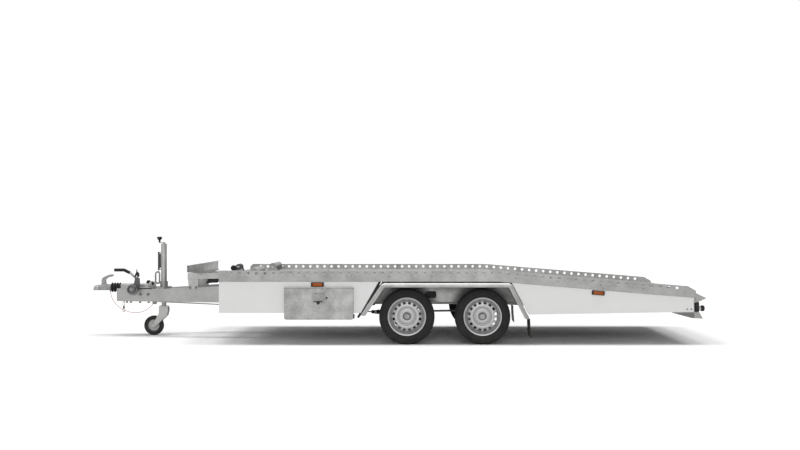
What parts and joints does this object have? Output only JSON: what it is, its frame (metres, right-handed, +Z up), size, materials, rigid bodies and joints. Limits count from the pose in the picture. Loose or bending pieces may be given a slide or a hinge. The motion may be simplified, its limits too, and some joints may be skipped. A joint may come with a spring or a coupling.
{
  "type": "car transporter trailer",
  "caption": "Open tandem-axle trailer for carrying a car: slotted runways between perforated side rails, V drawbar with overrun coupling, tool box and nose wheel.",
  "frame": {"origin": "on the ground under the middle of the whole trailer", "axes": "+X to the rear, -Y to the trailer's left side, +Z up"},
  "size_m": [6.05, 2.1, 1.0106],
  "materials": {
    "galvanised": "hot-dip galvanised, satin",
    "white_panel": "satin white",
    "black_plastic": "moulded",
    "black_rubber": "matt",
    "cast_steel": "zinc coated casting",
    "wheel_silver": "silver paint",
    "tyre_rubber": "matt black",
    "red_lens": "moulded lens",
    "amber_lens": "moulded lens in a black housing",
    "webbing": "woven strap on a steel drum",
    "red_cable": "plastic coated steel wire"
  },
  "bodies": {
    "chassis": {"axle_arms_front": "galvanised", "axle_arms_rear": "galvanised", "axle_tube_front": "galvanised", "axle_tube_rear": "galvanised", "brake_bracket": "galvanised", "brake_grip": "black_rubber", "brake_lever": "galvanised", "brake_rod": "galvanised", "breakaway_cable": "red_cable", "chassis_beams": "galvanised", "coupling_handle": "cast_steel", "coupling_head": "cast_steel", "coupling_shaft": "galvanised", "crank_knob": "black_plastic", "cross_members": "galvanised", "drawbar_beams": "galvanised", "end_markers": "black_plastic", "front_board": "galvanised", "front_frame": "galvanised", "light_bar": "galvanised", "middle_floor": "galvanised", "mud_flaps": "black_rubber", "mudguard_left": "galvanised", "mudguard_right": "galvanised", "nose_clamp": "galvanised", "nose_crank": "galvanised", "nose_tube": "galvanised", "overrun_bellows": "black_rubber", "overrun_housing": "galvanised", "rear_lip": "galvanised", "runway_left": "galvanised", "runway_right": "galvanised", "side_markers": "amber_lens", "side_rail_left": "galvanised", "side_rail_right": "galvanised", "skirts_left": "white_panel", "skirts_right": "white_panel", "tail_lamps": "red_lens", "toolbox_body": "galvanised", "wheel_stops": "galvanised", "winch_drum": "webbing", "winch_frame": "galvanised"},
    "toolbox_door": {"toolbox_door": "galvanised", "toolbox_latch": "galvanised"},
    "nose_leg": {"nose_leg": "galvanised"},
    "nose_fork": {"nose_fork": "galvanised"},
    "nose_wheel": {"nose_tyre": "black_rubber", "nose_rim": "galvanised"},
    "wheel_front_left": {"tyre_front_left": "tyre_rubber", "rim_front_left": "wheel_silver", "drum_front_left": "cast_steel"},
    "wheel_front_right": {"tyre_front_right": "tyre_rubber", "rim_front_right": "wheel_silver", "drum_front_right": "cast_steel"},
    "wheel_rear_left": {"tyre_rear_left": "tyre_rubber", "rim_rear_left": "wheel_silver", "drum_rear_left": "cast_steel"},
    "wheel_rear_right": {"tyre_rear_right": "tyre_rubber", "rim_rear_right": "wheel_silver", "drum_rear_right": "cast_steel"}
  },
  "joints": [
    {"name": "wheel_front_left_spin", "type": "hinge", "parent": "chassis", "child": "wheel_front_left", "pos_m": [0.208, -0.912, 0.2625], "axis": [0, 1, 0], "continuous": true},
    {"name": "wheel_front_right_spin", "type": "hinge", "parent": "chassis", "child": "wheel_front_right", "pos_m": [0.208, 0.912, 0.2625], "axis": [0, 1, 0], "continuous": true},
    {"name": "wheel_rear_left_spin", "type": "hinge", "parent": "chassis", "child": "wheel_rear_left", "pos_m": [0.923, -0.912, 0.2625], "axis": [0, 1, 0], "continuous": true},
    {"name": "wheel_rear_right_spin", "type": "hinge", "parent": "chassis", "child": "wheel_rear_right", "pos_m": [0.923, 0.912, 0.2625], "axis": [0, 1, 0], "continuous": true},
    {"name": "toolbox_door_hinge", "type": "hinge", "parent": "chassis", "child": "toolbox_door", "pos_m": [-0.62, -1.0446, 0.244], "axis": [1, 0, 0], "range_deg": [0, 95]},
    {"name": "nose_leg_slide", "type": "slide", "parent": "chassis", "child": "nose_leg", "axis": [0, 0, 1], "range_m": [-0.12, 0.075]},
    {"name": "nose_fork_swivel", "type": "hinge", "parent": "nose_leg", "child": "nose_fork", "pos_m": [-2.3, 0, 0.3], "axis": [0, 0, 1], "continuous": true},
    {"name": "nose_wheel_spin", "type": "hinge", "parent": "nose_fork", "child": "nose_wheel", "pos_m": [-2.401, 0, 0.1], "axis": [0, 1, 0], "continuous": true}
  ]
}
